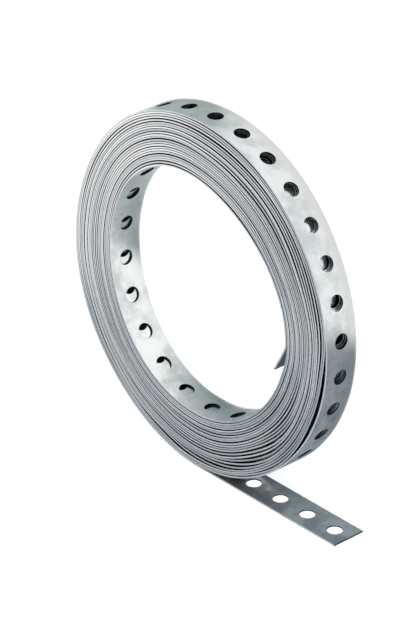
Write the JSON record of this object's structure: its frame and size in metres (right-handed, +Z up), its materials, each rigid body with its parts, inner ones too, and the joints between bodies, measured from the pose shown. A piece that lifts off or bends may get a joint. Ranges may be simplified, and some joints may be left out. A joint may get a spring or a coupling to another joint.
{
  "type": "roll of perforated steel strap",
  "caption": "Flat galvanised steel strap with round holes at an even pitch, wound into a roll that lies on its end, with a short free end running off it.",
  "frame": {"origin": "on the floor, under the middle of the whole box", "axes": "+Z up along the roll's axis, +X the way the free end points"},
  "size_m": [0.17, 0.166, 0.017],
  "materials": {
    "galvanised_steel": "galvanised, satin, faintly spangled"
  },
  "bodies": {
    "root": {"strap_roll": "galvanised_steel"}
  },
  "joints": []
}
